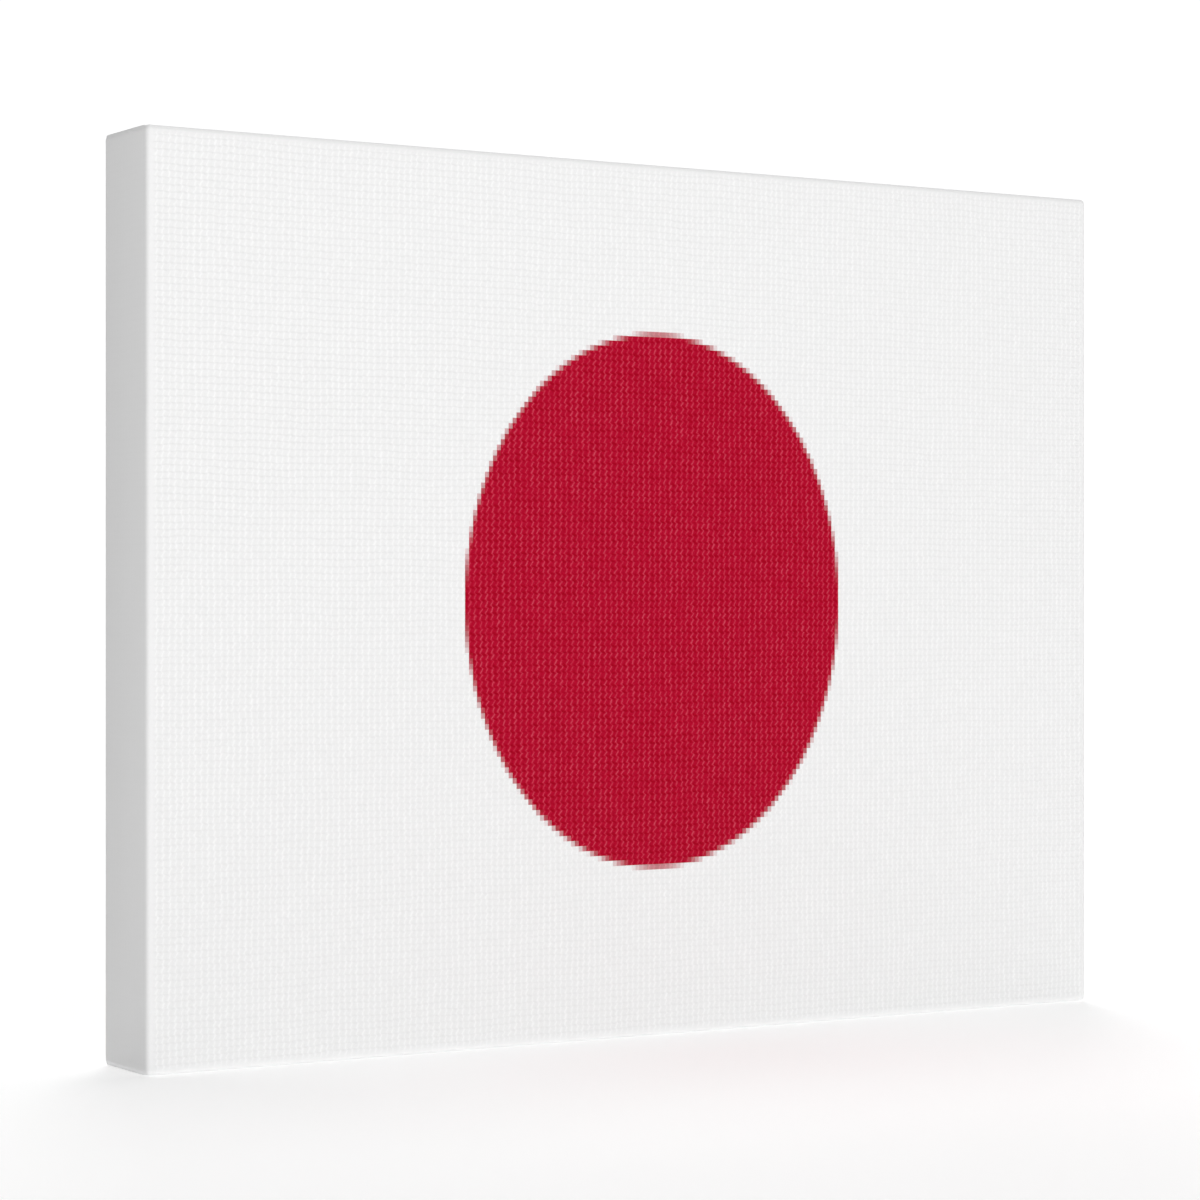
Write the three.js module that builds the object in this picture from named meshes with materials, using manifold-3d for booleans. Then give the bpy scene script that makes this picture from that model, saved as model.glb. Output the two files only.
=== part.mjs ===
// A stretched canvas, 14 x 11 x 1-1/4 in: woven cloth pulled over a keyable wooden
// stretcher frame, stapled at the back, with a sawtooth hanger and rubber bumpers.
//
// Millimetres, +Z up, the printed face looks along -Y. The origin is the middle of the bottom
// edge, half way through the depth of the wrapped cloth. Left is -X, as seen from
// the front.
import * as THREE from "three";
import { mergeVertices } from "three/addons/utils/BufferGeometryUtils.js";
import Module from "manifold-3d";

const wasm = await Module();
wasm.setup();

// ---- Driving dimensions ---------------------------------------------------

const WIDTH = 355.6; // 14 in
const HEIGHT = 279.4; // 11 in
const DEPTH = 31.75; // 1-1/4 in, over the cloth

const CLOTH = 0.6; // primed cotton canvas
const CLOTH_GAP = 0.2; // between the cloth and the wood
const EDGE_R = 1.6; // how round the cloth turns over the edges
const CORNER_R = 0.4; // added to EDGE_R at the four corners of the face
const FLAP = 27; // cloth turned over onto the back
const FOLD = 0.9; // what the folded layers add at each corner of the back

const BAR = 38; // face width of a stretcher bar
const BEAD = 4.5; // raised bead that holds the cloth off the bar
const BEAD_DROP = 2.2; // from the bead to the bevelled face
const BEAD_RUN = 2.5; // over which it drops
const BEVEL_DROP = 4.6; // from the bead to the inner edge of the bevelled face
const MITRE_GAP = 0.2; // along the bar, each side of a mitre
const TONGUE_GAP = 0.15; // each side of a tongue in its slot
const SLOT = 5; // thickness of a slot
const SLOT_SIDE_Y = -5.5; // where the side bars' slots start
const SLOT_ENDS_Y = 3; // where the top and bottom bars' slots start

const KEY_LENGTH = 34;
const KEY_BUTT = 12; // width of a key's thick end
const KEY_TIP = 4.5;
const KEY_THICK = 4.5;
const KEY_IN = 20; // how far a key sits in its slot
const KEY_GAP = 0.25; // between a key and the bar that it bears on
const KEY_PLAY = 0.75; // what the slot leaves at a key's slanted side

const STAPLE_CROWN = 11;
const STAPLE_WIRE = 0.6;
const STAPLE_WIDE = 1.25;
const STAPLE_LEG = 6.5;
const STAPLE_LINE = 20; // from the outer edge to the row of staples
const HOLE_GAP = 0.15;
const SEAT = 0.1; // between a fastener and the cloth that it lies on

const HANGER_LENGTH = 46;
const HANGER_HEIGHT = 11;
const HANGER_THICK = 0.7;
const HANGER_RISE = 1.8;
const HANGER_TOP = 5; // below the top edge
const TEETH = 9;
const TOOTH = 2.4;
const TOOTH_DEEP = 2;

const NAIL_AT = 18.8; // from the middle of the hanger
const NAIL_R = 0.75;
const NAIL_HEAD_R = 2.1;
const NAIL_HEAD = 0.7;
const NAIL_LENGTH = 13;

const BUMPER_R = 5;
const BUMPER_HIGH = 2.6;

// ---- Where things are -----------------------------------------------------

const BACK = DEPTH / 2; // outer face of the cloth at the back
const WOOD_X = WIDTH / 2 - CLOTH - CLOTH_GAP; // outer edges of the frame
const WOOD_TOP = HEIGHT - CLOTH - CLOTH_GAP;
const WOOD_BOTTOM = CLOTH + CLOTH_GAP;
const WOOD_Y = DEPTH / 2 - CLOTH - CLOTH_GAP; // front and back faces of the frame

const taper = (KEY_BUTT - KEY_TIP) / KEY_LENGTH;
const KEY_AT_MOUTH = KEY_TIP + taper * KEY_IN;
const SLOT_PAST = KEY_GAP + KEY_AT_MOUTH + KEY_PLAY; // slot beyond the crossing bar

// ---- Materials ------------------------------------------------------------

const material = (color, roughness, metalness = 0) =>
  new THREE.MeshStandardMaterial({ color, roughness, metalness });
const cloth = material(0xf2f2f1, 0.85);
const pine = material(0xd9b483, 0.7);
const beech = material(0xcfa878, 0.65);
const zinc = material(0xb9bbbd, 0.35, 1);
const steel = material(0xaeb1b4, 0.4, 1);
const rubber = material(0x2b2b2c, 0.8);

// ---- Solids ---------------------------------------------------------------

// A closed geometry as a solid that can be joined and cut.
function solid(geometry) {
  const bare = geometry.index ? geometry.toNonIndexed() : geometry.clone();
  bare.deleteAttribute("normal");
  bare.deleteAttribute("uv");
  const merged = mergeVertices(bare, 1e-4);
  return new wasm.Manifold(
    new wasm.Mesh({
      numProp: 3,
      vertProperties: new Float32Array(merged.attributes.position.array),
      triVerts: new Uint32Array(merged.index.array),
    }),
  );
}

// The solid's vertices and triangles as a geometry again.
function shaped(made) {
  const mesh = made.getMesh();
  const points = new Float32Array(mesh.numVert * 3);
  for (let i = 0; i < mesh.numVert; i++)
    points.set(
      mesh.vertProperties.subarray(i * mesh.numProp, i * mesh.numProp + 3),
      i * 3,
    );
  const geometry = new THREE.BufferGeometry();
  geometry.setAttribute("position", new THREE.BufferAttribute(points, 3));
  geometry.setIndex(new THREE.BufferAttribute(mesh.triVerts, 1));
  const flat = geometry.toNonIndexed();
  flat.computeVertexNormals();
  return flat;
}

const box = (x0, y0, z0, x1, y1, z1) =>
  solid(
    new THREE.BoxGeometry(x1 - x0, y1 - y0, z1 - z0).translate(
      (x0 + x1) / 2,
      (y0 + y1) / 2,
      (z0 + z1) / 2,
    ),
  );

const outline = (points) =>
  new THREE.Shape(points.map(([a, b]) => new THREE.Vector2(a, b)));

// An outline in X and Z, from y0 to y1.
const alongY = (points, y0, y1) =>
  new THREE.ExtrudeGeometry(outline(points), {
    depth: y1 - y0,
    bevelEnabled: false,
  })
    .applyMatrix4(
      new THREE.Matrix4().makeBasis(
        new THREE.Vector3(1, 0, 0),
        new THREE.Vector3(0, 0, 1),
        new THREE.Vector3(0, -1, 0),
      ),
    )
    .translate(0, y1, 0);

// An outline in Y and Z, from x0 to x1.
const alongX = (points, x0, x1) =>
  new THREE.ExtrudeGeometry(outline(points), {
    depth: x1 - x0,
    bevelEnabled: false,
  })
    .applyMatrix4(
      new THREE.Matrix4().makeBasis(
        new THREE.Vector3(0, 1, 0),
        new THREE.Vector3(0, 0, 1),
        new THREE.Vector3(1, 0, 0),
      ),
    )
    .translate(x0, 0, 0);

// A box with every edge rounded by r, and its four corners in X and Z by a bit more.
function roundedBox(x, z0, z1, y, r, corner, steps) {
  const hx = x - r,
    lo = z0 + r,
    hi = z1 - r,
    c = corner;
  const shape = new THREE.Shape();
  shape.moveTo(-hx + c, lo);
  shape.lineTo(hx - c, lo);
  shape.absarc(hx - c, lo + c, c, -Math.PI / 2, 0, false);
  shape.lineTo(hx, hi - c);
  shape.absarc(hx - c, hi - c, c, 0, Math.PI / 2, false);
  shape.lineTo(-hx + c, hi);
  shape.absarc(-hx + c, hi - c, c, Math.PI / 2, Math.PI, false);
  shape.lineTo(-hx, lo + c);
  shape.absarc(-hx + c, lo + c, c, Math.PI, 1.5 * Math.PI, false);
  return new THREE.ExtrudeGeometry(shape, {
    depth: 2 * (y - r),
    bevelEnabled: true,
    bevelThickness: r,
    bevelSize: r,
    bevelSegments: steps,
    curveSegments: steps,
  })
    .applyMatrix4(
      new THREE.Matrix4().makeBasis(
        new THREE.Vector3(1, 0, 0),
        new THREE.Vector3(0, 0, 1),
        new THREE.Vector3(0, -1, 0),
      ),
    )
    .translate(0, y - r, 0);
}

function turned(made, mesh) {
  mesh.updateMatrixWorld(true);
  return made.transform(mesh.matrixWorld.elements);
}

const part = new THREE.Group();

function add(name, geometry, mat, position = [0, 0, 0], basis) {
  const mesh = new THREE.Mesh(geometry, mat);
  mesh.name = name;
  mesh.position.set(...position);
  if (basis) {
    const [ex, ez] = basis.map((v) => new THREE.Vector3(...v));
    const ey = new THREE.Vector3().crossVectors(ez, ex);
    mesh.quaternion.setFromRotationMatrix(
      new THREE.Matrix4().makeBasis(ex, ey, ez),
    );
  }
  part.add(mesh);
  return mesh;
}

// ---- Fasteners: where they go, and the holes that they make ---------------

// A staple's own frame: the crown runs along X, its underside at Y = 0, the legs
// point down -Y into the wood.
const half = STAPLE_CROWN / 2;
const staple = new THREE.ExtrudeGeometry(
  outline([
    [-half, -STAPLE_LEG + 0.5],
    [-half + 0.4, -STAPLE_LEG],
    [-half + STAPLE_WIRE, -STAPLE_LEG + 0.2],
    [-half + STAPLE_WIRE, -0.25],
    [-half + STAPLE_WIRE + 0.25, 0],
    [half - STAPLE_WIRE - 0.25, 0],
    [half - STAPLE_WIRE, -0.25],
    [half - STAPLE_WIRE, -STAPLE_LEG + 0.2],
    [half - 0.4, -STAPLE_LEG],
    [half, -STAPLE_LEG + 0.5],
    [half, STAPLE_WIRE - 0.45],
    [half - 0.45, STAPLE_WIRE],
    [-half + 0.45, STAPLE_WIRE],
    [-half, STAPLE_WIRE - 0.45],
  ]),
  { depth: STAPLE_WIDE, bevelEnabled: false },
).translate(0, 0, -STAPLE_WIDE / 2);

const legHoles = () => {
  const w = STAPLE_WIDE / 2 + HOLE_GAP,
    deep = -STAPLE_LEG - 0.3;
  return box(
    -half - HOLE_GAP,
    deep,
    -w,
    -half + STAPLE_WIRE + HOLE_GAP,
    1,
    w,
  ).add(
    box(half - STAPLE_WIRE - HOLE_GAP, deep, -w, half + HOLE_GAP, 1, w),
  );
};

// Each staple: name, x, z, the angle of its crown from X in degrees, and what
// it stands on. The small odd angles are a hand stapler's.
const staples = [];
const lean = [2, -3, 1, 4, -2, 3, -1];
for (let i = 0; i < 7; i++) {
  const x = 48 * (i - 3);
  staples.push([`staple_top_${i + 1}`, x, HEIGHT - STAPLE_LINE, lean[i], BACK]);
  staples.push([`staple_bottom_${i + 1}`, x, STAPLE_LINE, -lean[6 - i], BACK]);
}
for (let i = 0; i < 5; i++) {
  const z = 36 + ((HEIGHT - 72) / 4) * i;
  const x = WIDTH / 2 - STAPLE_LINE;
  staples.push([`staple_left_${i + 1}`, -x, z, 90 + lean[i + 1], BACK]);
  staples.push([`staple_right_${i + 1}`, x, z, 90 - lean[i], BACK]);
}
for (const [side, sx] of [
  ["left", -1],
  ["right", 1],
])
  for (const [end, sz] of [
    ["top", 1],
    ["bottom", -1],
  ])
    staples.push([
      `staple_corner_${end}_${side}`,
      sx * (WIDTH / 2 - 20.5),
      HEIGHT / 2 + sz * (HEIGHT / 2 - 10.5),
      sx * sz > 0 ? 45 : -45,
      BACK + FOLD,
    ]);

const holes = [];
for (const [name, x, z, angle, on] of staples) {
  const a = THREE.MathUtils.degToRad(angle);
  const mesh = add(
    name,
    staple,
    steel,
    [x, on + SEAT, z],
    [
      [Math.cos(a), 0, Math.sin(a)],
      [-Math.sin(a), 0, Math.cos(a)],
    ],
  );
  holes.push({ x, z, cut: turned(legHoles(), mesh) });
}

// The hanger's nails.
const nail = new THREE.LatheGeometry(
  [
    [0, -NAIL_LENGTH],
    [NAIL_R, -NAIL_LENGTH + 2],
    [NAIL_R, 0],
    [NAIL_HEAD_R, 0],
    [NAIL_HEAD_R, NAIL_HEAD * 0.55],
    [NAIL_HEAD_R * 0.7, NAIL_HEAD],
    [0, NAIL_HEAD],
  ].map(([r, y]) => new THREE.Vector2(r, y)),
  20,
);
const nailY = BACK + SEAT + HANGER_THICK + SEAT;
const nailZ = HEIGHT - HANGER_TOP - HANGER_HEIGHT / 2;
for (const [side, sx] of [
  ["left", -1],
  ["right", 1],
]) {
  const mesh = add(`hanger_nail_${side}`, nail, steel, [
    sx * NAIL_AT,
    nailY,
    nailZ,
  ]);
  const hole = new THREE.CylinderGeometry(
    NAIL_R + 0.2,
    NAIL_R + 0.2,
    NAIL_LENGTH + 2,
    20,
  ).translate(0, -(NAIL_LENGTH + 2) / 2 + 1.5, 0);
  holes.push({
    x: sx * NAIL_AT,
    z: nailZ,
    cut: turned(solid(hole), mesh),
  });
}

// ---- Cloth: one sheet over the face, the four sides and onto the back ------

const cutCloth = () => {
  let made = solid(
    roundedBox(WIDTH / 2, 0, HEIGHT, DEPTH / 2, EDGE_R, CORNER_R, 4),
  ).subtract(
    solid(
      roundedBox(
        WIDTH / 2 - CLOTH,
        CLOTH,
        HEIGHT - CLOTH,
        DEPTH / 2 - CLOTH,
        EDGE_R - CLOTH,
        CORNER_R,
        3,
      ),
    ),
  );
  made = made.subtract(
    box(
      -WIDTH / 2 + FLAP,
      0,
      FLAP,
      WIDTH / 2 - FLAP,
      DEPTH,
      HEIGHT - FLAP,
    ),
  );
  // Folded layers at the corners lie against the top and bottom edges.
  for (const sx of [-1, 1])
    for (const sz of [-1, 1]) {
      const at = (u, w) => [
        sx * (WIDTH / 2 - u),
        HEIGHT / 2 + sz * (HEIGHT / 2 - w),
      ];
      made = made.add(
        solid(
          alongY(
            [at(3, 2), at(FLAP, 2), at(FLAP, FLAP - 1)],
            BACK - CLOTH / 2,
            BACK + FOLD,
          ),
        ),
      );
    }
  for (const { cut } of holes) made = made.subtract(cut);
  return made;
};
add("canvas", shaped(cutCloth()), cloth);

// ---- Stretcher bars ---------------------------------------------------------

// A bar's own frame: it runs along X, its outer edge is at Z = 0 and faces +Z,
// and its depth is the frame's. The tongue and the slot are at both ends.
function bar(length, tongueY, slotY) {
  const end = length / 2;
  // The outer edge and both faces stand proud here, and the eased frame trims them.
  const section = [
    [-WOOD_Y - 1, 1],
    [-WOOD_Y - 1, -BEAD + BEAD_RUN / BEAD_DROP],
    [-WOOD_Y + BEAD_DROP, -BEAD - BEAD_RUN],
    [-WOOD_Y + BEVEL_DROP, -BAR + 1.2],
    [-WOOD_Y + BEVEL_DROP + 1, -BAR],
    [WOOD_Y - 1, -BAR],
    [WOOD_Y + 1, -BAR + 2],
    [WOOD_Y + 1, 1],
  ];
  const whole = solid(alongX(section, -end - 1, end + 1));
  let made = whole;
  for (const s of [-1, 1]) {
    const past = 6;
    made = made.subtract(
      solid(
        alongY(
          [
            [s * (end + past - MITRE_GAP), past],
            [s * (end - BAR - past - MITRE_GAP), -BAR - past],
            [s * (end + 2 * past), -BAR - past],
            [s * (end + 2 * past), past],
          ],
          -DEPTH,
          DEPTH,
        ),
      ),
    );
  }
  const tongue = whole.intersect(
    box(
      -end + MITRE_GAP,
      tongueY + TONGUE_GAP,
      -BAR - 1,
      end - MITRE_GAP,
      tongueY + SLOT - TONGUE_GAP,
      2,
    ),
  );
  made = made.add(tongue);
  for (const s of [-1, 1]) {
    const inner = s * (end - BAR - SLOT_PAST),
      outer = s * (end + 5);
    made = made.subtract(
      box(
        Math.min(inner, outer),
        slotY,
        -BAR - 1,
        Math.max(inner, outer),
        slotY + SLOT,
        2,
      ),
    );
  }
  return made;
}

// The frame's outer edges and corners are eased to lie inside the turned cloth.
const eased = solid(
  roundedBox(
    WOOD_X,
    WOOD_BOTTOM,
    WOOD_TOP,
    WOOD_Y,
    EDGE_R - CLOTH - CLOTH_GAP,
    CORNER_R,
    3,
  ),
);
const across = bar(2 * WOOD_X, SLOT_SIDE_Y, SLOT_ENDS_Y);
const upright = bar(WOOD_TOP - WOOD_BOTTOM, SLOT_ENDS_Y, SLOT_SIDE_Y);
const middle = (WOOD_TOP + WOOD_BOTTOM) / 2;
for (const [name, made, position, ex, ez] of [
  ["stretcher_bar_top", across, [0, 0, WOOD_TOP], [1, 0, 0], [0, 0, 1]],
  ["stretcher_bar_bottom", across, [0, 0, WOOD_BOTTOM], [-1, 0, 0], [0, 0, -1]],
  ["stretcher_bar_left", upright, [-WOOD_X, 0, middle], [0, 0, 1], [-1, 0, 0]],
  ["stretcher_bar_right", upright, [WOOD_X, 0, middle], [0, 0, -1], [1, 0, 0]],
]) {
  const mesh = add(name, new THREE.BufferGeometry(), pine, position, [ex, ez]);
  mesh.updateMatrixWorld(true);
  const inverse = mesh.matrixWorld.clone().invert();
  const back = inverse.elements;
  const local = new THREE.Vector3();
  let cutBar = made.intersect(eased.transform(back));
  for (const { x, z, cut } of holes) {
    local.set(x, 0, z).applyMatrix4(inverse);
    if (local.z < 2 && local.z > -BAR - 2)
      cutBar = cutBar.subtract(cut.transform(back));
  }
  mesh.geometry = shaped(cutBar);
}

// ---- Corner keys ------------------------------------------------------------

// A key's own frame: it is driven along +X, its straight side is at Z = 0 and
// bears on the crossing bar, and X = 0 is the mouth of its slot.
const key = alongY(
  [
    [KEY_IN - 0.8, 0],
    [KEY_IN, -0.8],
    [KEY_IN, -KEY_TIP + 1.2],
    [KEY_IN - 1.2, -KEY_TIP - taper * 1.2],
    [KEY_IN - KEY_LENGTH + 1, -KEY_BUTT + taper],
    [KEY_IN - KEY_LENGTH, -KEY_BUTT + taper + 1],
    [KEY_IN - KEY_LENGTH, -1],
    [KEY_IN - KEY_LENGTH + 1, 0],
  ],
  -KEY_THICK / 2,
  KEY_THICK / 2,
);
const inX = WOOD_X - BAR, // mouths of the slots in the side bars
  inTop = WOOD_TOP - BAR,
  inBottom = WOOD_BOTTOM + BAR;
const sideY = SLOT_SIDE_Y + SLOT / 2,
  endsY = SLOT_ENDS_Y + SLOT / 2;
for (const [v, inZ, sz] of [
  ["top", inTop, 1],
  ["bottom", inBottom, -1],
])
  for (const [h, sx] of [
    ["left", -1],
    ["right", 1],
  ]) {
    add(
      `key_${v}_${h}_in_side_bar`,
      key,
      beech,
      [sx * inX, sideY, inZ - sz * KEY_GAP],
      [
        [sx, 0, 0],
        [0, 0, sz],
      ],
    );
    add(
      `key_${v}_${h}_in_${v}_bar`,
      key,
      beech,
      [sx * (inX - KEY_GAP), endsY, inZ],
      [
        [0, 0, sz],
        [sx, 0, 0],
      ],
    );
  }

// ---- Sawtooth hanger --------------------------------------------------------

// Its own frame: X along the plate, Y = 0 where it lies, Z = 0 at its lower edge.
function hanger() {
  const l = HANGER_LENGTH / 2,
    t = HANGER_THICK,
    r = HANGER_RISE;
  const arch = new THREE.ExtrudeGeometry(
    outline([
      [-l, 0],
      [-15, 0],
      [-12.6, r],
      [12.6, r],
      [15, 0],
      [l, 0],
      [l, t],
      [15.3, t],
      [12.9, r + t],
      [-12.9, r + t],
      [-15.3, t],
      [-l, t],
    ]),
    { depth: HANGER_HEIGHT, bevelEnabled: false },
  );
  let made = solid(arch);
  for (let i = 0; i < TEETH; i++) {
    const x = TOOTH * (i - (TEETH - 1) / 2);
    made = made.subtract(
      solid(
        alongY(
          [
            [x - TOOTH * 0.63, -TOOTH_DEEP / 2],
            [x + TOOTH * 0.63, -TOOTH_DEEP / 2],
            [x, TOOTH_DEEP],
          ],
          -1,
          r + t + 1,
        ),
      ),
    );
  }
  for (const s of [-1, 1]) {
    made = made.subtract(
      solid(
        new THREE.CylinderGeometry(NAIL_R + 0.2, NAIL_R + 0.2, 4, 20).translate(
          s * NAIL_AT,
          0,
          HANGER_HEIGHT / 2,
        ),
      ),
    );
    for (const z of [0, HANGER_HEIGHT]) {
      const into = z ? -1 : 1;
      made = made.subtract(
        solid(
          alongY(
            [
              [s * (l + 1), z - into],
              [s * (l + 1), z + into * 2],
              [s * (l - 2), z - into],
            ],
            -1,
            t + 1,
          ),
        ),
      );
    }
  }
  return made;
}
add("sawtooth_hanger", shaped(hanger()), zinc, [
  0,
  BACK + SEAT,
  HEIGHT - HANGER_TOP - HANGER_HEIGHT,
]);

// ---- Rubber bumpers at the bottom corners of the back -------------------------

const bumper = new THREE.LatheGeometry(
  [
    [0, 0],
    [BUMPER_R, 0],
    [BUMPER_R, 0.5],
    [BUMPER_R * 0.93, BUMPER_HIGH * 0.5],
    [BUMPER_R * 0.72, BUMPER_HIGH * 0.82],
    [BUMPER_R * 0.4, BUMPER_HIGH * 0.97],
    [0, BUMPER_HIGH],
  ].map(([r, y]) => new THREE.Vector2(r, y)),
  28,
);
for (const [side, sx] of [
  ["left", -1],
  ["right", 1],
])
  add(`wall_bumper_${side}`, bumper, rubber, [
    sx * (WIDTH / 2 - 10.5),
    BACK + SEAT,
    24,
  ]);

export default part;
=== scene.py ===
import math
import random

import bmesh
import bpy
import numpy as np
from mathutils import Matrix, Vector


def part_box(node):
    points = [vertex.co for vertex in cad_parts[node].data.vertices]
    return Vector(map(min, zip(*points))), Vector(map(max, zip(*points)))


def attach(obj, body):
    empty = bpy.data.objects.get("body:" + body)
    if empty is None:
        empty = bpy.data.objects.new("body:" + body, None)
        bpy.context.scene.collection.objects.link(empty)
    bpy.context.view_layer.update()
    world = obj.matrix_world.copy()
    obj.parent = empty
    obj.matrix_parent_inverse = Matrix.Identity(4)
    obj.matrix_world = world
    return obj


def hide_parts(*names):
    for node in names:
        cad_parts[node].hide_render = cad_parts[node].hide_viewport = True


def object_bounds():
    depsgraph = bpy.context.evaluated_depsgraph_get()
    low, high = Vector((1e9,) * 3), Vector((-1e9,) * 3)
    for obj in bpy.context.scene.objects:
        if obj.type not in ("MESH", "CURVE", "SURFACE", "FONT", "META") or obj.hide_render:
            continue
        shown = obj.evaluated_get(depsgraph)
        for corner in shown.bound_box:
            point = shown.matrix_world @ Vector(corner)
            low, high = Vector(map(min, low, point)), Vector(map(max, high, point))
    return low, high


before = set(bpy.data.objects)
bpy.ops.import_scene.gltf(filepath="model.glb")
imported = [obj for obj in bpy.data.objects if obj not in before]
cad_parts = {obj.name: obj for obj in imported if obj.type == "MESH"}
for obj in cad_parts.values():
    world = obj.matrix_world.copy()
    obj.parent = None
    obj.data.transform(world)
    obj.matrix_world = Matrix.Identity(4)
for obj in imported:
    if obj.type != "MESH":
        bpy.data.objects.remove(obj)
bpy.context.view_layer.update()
scene = bpy.context.scene
FRAME_BODY = "canvas_and_frame"

# ---------------------------------------------------------------------------
# Camera: level, at the picture's middle height, in front and to the left
# ---------------------------------------------------------------------------

lo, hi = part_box("canvas")
A = hi.x * 1000  # half width, in mm
HT = hi.z * 1000  # height
YF = lo.y * 1000  # front of the cloth
YB = -YF  # its back, without the folds
HC = HT / 2

cam_data = bpy.data.cameras.new("camera")
cam = bpy.data.objects.new("camera", cam_data)
scene.collection.objects.link(cam)
cam_data.sensor_width = 36
cam_data.lens = 100.86
cam_data.clip_start, cam_data.clip_end = 0.01, 50
cam.location = (-0.5847, -0.9233, HC / 1000)
cam.rotation_euler = (math.radians(90), 0, math.radians(-31.817))
scene.camera = cam

# ---------------------------------------------------------------------------
# Node helpers
# ---------------------------------------------------------------------------


class Nodes:
    """Short ways to build a material's nodes. Values may be numbers or sockets."""

    def __init__(self, name):
        self.mat = bpy.data.materials.new(name)
        self.mat.use_nodes = True
        self.nt = self.mat.node_tree
        self.nt.nodes.clear()
        self.out = self.nt.nodes.new("ShaderNodeOutputMaterial")
        self.bsdf = self.nt.nodes.new("ShaderNodeBsdfPrincipled")
        self.nt.links.new(self.bsdf.outputs[0], self.out.inputs["Surface"])

    def put(self, socket, value):
        if isinstance(value, bpy.types.NodeSocket):
            self.nt.links.new(value, socket)
        elif value is not None:
            if socket.type == "RGBA" and len(value) == 3:
                value = (*value, 1)
            socket.default_value = value

    def math(self, op, a, b=None, c=None, clamp=False):
        n = self.nt.nodes.new("ShaderNodeMath")
        n.operation, n.use_clamp = op, clamp
        for socket, value in zip(n.inputs, (a, b, c)):
            self.put(socket, value)
        return n.outputs[0]

    def add(self, a, b):
        return self.math("ADD", a, b)

    def sub(self, a, b):
        return self.math("SUBTRACT", a, b)

    def mul(self, a, b):
        return self.math("MULTIPLY", a, b)

    def div(self, a, b):
        return self.math("DIVIDE", a, b)

    def smooth(self, x, low, high, to0=0.0, to1=1.0):
        n = self.nt.nodes.new("ShaderNodeMapRange")
        n.interpolation_type = "SMOOTHSTEP"
        for socket, value in zip(n.inputs, (x, low, high, to0, to1)):
            self.put(socket, value)
        return n.outputs[0]

    def linear(self, x, low, high, to0=0.0, to1=1.0):
        n = self.nt.nodes.new("ShaderNodeMapRange")
        for socket, value in zip(n.inputs, (x, low, high, to0, to1)):
            self.put(socket, value)
        return n.outputs[0]

    def gauss(self, x, width):
        """exp(-(x / width)^2)"""
        q = self.div(x, width)
        return self.math("EXPONENT", self.mul(self.mul(q, q), -1.0))

    def xyz(self, vector):
        n = self.nt.nodes.new("ShaderNodeSeparateXYZ")
        self.put(n.inputs[0], vector)
        return n.outputs

    def vec(self, x=0.0, y=0.0, z=0.0):
        n = self.nt.nodes.new("ShaderNodeCombineXYZ")
        for socket, value in zip(n.inputs, (x, y, z)):
            self.put(socket, value)
        return n.outputs[0]

    def noise(self, vector, scale, detail=2.0, rough=0.5, dims="3D", dist=0.0):
        n = self.nt.nodes.new("ShaderNodeTexNoise")
        n.noise_dimensions = dims
        self.put(n.inputs["Vector"], vector)
        self.put(n.inputs["Scale"], scale)
        self.put(n.inputs["Detail"], detail)
        self.put(n.inputs["Roughness"], rough)
        self.put(n.inputs["Distortion"], dist)
        return n.outputs[0]

    def noise3(self, vector, scale, detail=2.0):
        n = self.nt.nodes.new("ShaderNodeTexNoise")
        self.put(n.inputs["Vector"], vector)
        self.put(n.inputs["Scale"], scale)
        self.put(n.inputs["Detail"], detail)
        return self.xyz(n.outputs["Color"])

    def white(self, vector):
        n = self.nt.nodes.new("ShaderNodeTexWhiteNoise")
        n.noise_dimensions = "3D"
        self.put(n.inputs["Vector"], vector)
        return n.outputs["Value"]

    def mix(self, factor, a, b):
        n = self.nt.nodes.new("ShaderNodeMix")
        n.data_type = "RGBA"
        self.put(n.inputs["Factor"], factor)
        self.put([s for s in n.inputs if s.name == "A" and s.type == "RGBA"][0], a)
        self.put([s for s in n.inputs if s.name == "B" and s.type == "RGBA"][0], b)
        return [s for s in n.outputs if s.type == "RGBA"][0]

    def lerp(self, factor, a, b):
        return self.add(a, self.mul(factor, self.sub(b, a)))

    def ramp(self, x, stops):
        n = self.nt.nodes.new("ShaderNodeValToRGB")
        self.put(n.inputs[0], x)
        e = n.color_ramp.elements
        while len(e) < len(stops):
            e.new(0.5)
        for item, (at, colour) in zip(e, stops):
            item.position, item.color = at, (*colour, 1)
        return n.outputs[0]

    def attribute(self, name, kind="Vector"):
        n = self.nt.nodes.new("ShaderNodeAttribute")
        n.attribute_type, n.attribute_name = "GEOMETRY", name
        return n.outputs[kind]

    def place(self):
        """The point in the row frame at rest, in mm."""
        n = self.nt.nodes.new("ShaderNodeTexCoord")
        v = self.nt.nodes.new("ShaderNodeVectorMath")
        v.operation = "SCALE"
        self.nt.links.new(n.outputs["Object"], v.inputs[0])
        v.inputs["Scale"].default_value = 1000
        return v.outputs[0]

    def bump(self, height_mm, strength=1.0, normal=None):
        """height_mm is in millimetres."""
        n = self.nt.nodes.new("ShaderNodeBump")
        n.inputs["Strength"].default_value = strength
        n.inputs["Distance"].default_value = 0.001
        self.put(n.inputs["Height"], height_mm)
        if normal is not None:
            self.put(n.inputs["Normal"], normal)
        return n.outputs[0]

    def set(self, **values):
        for key, value in values.items():
            self.put(self.bsdf.inputs[key.replace("_", " ")], value)
        return self.mat


def srgb(r, g, b):
    return tuple(
        (c / 12.92 if c <= 0.04045 else ((c + 0.055) / 1.055) ** 2.4)
        for c in (r / 255, g / 255, b / 255)
    )


# ---------------------------------------------------------------------------
# Materials
# ---------------------------------------------------------------------------

WEAVE = 2.07  # mm from thread to thread, both ways


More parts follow.
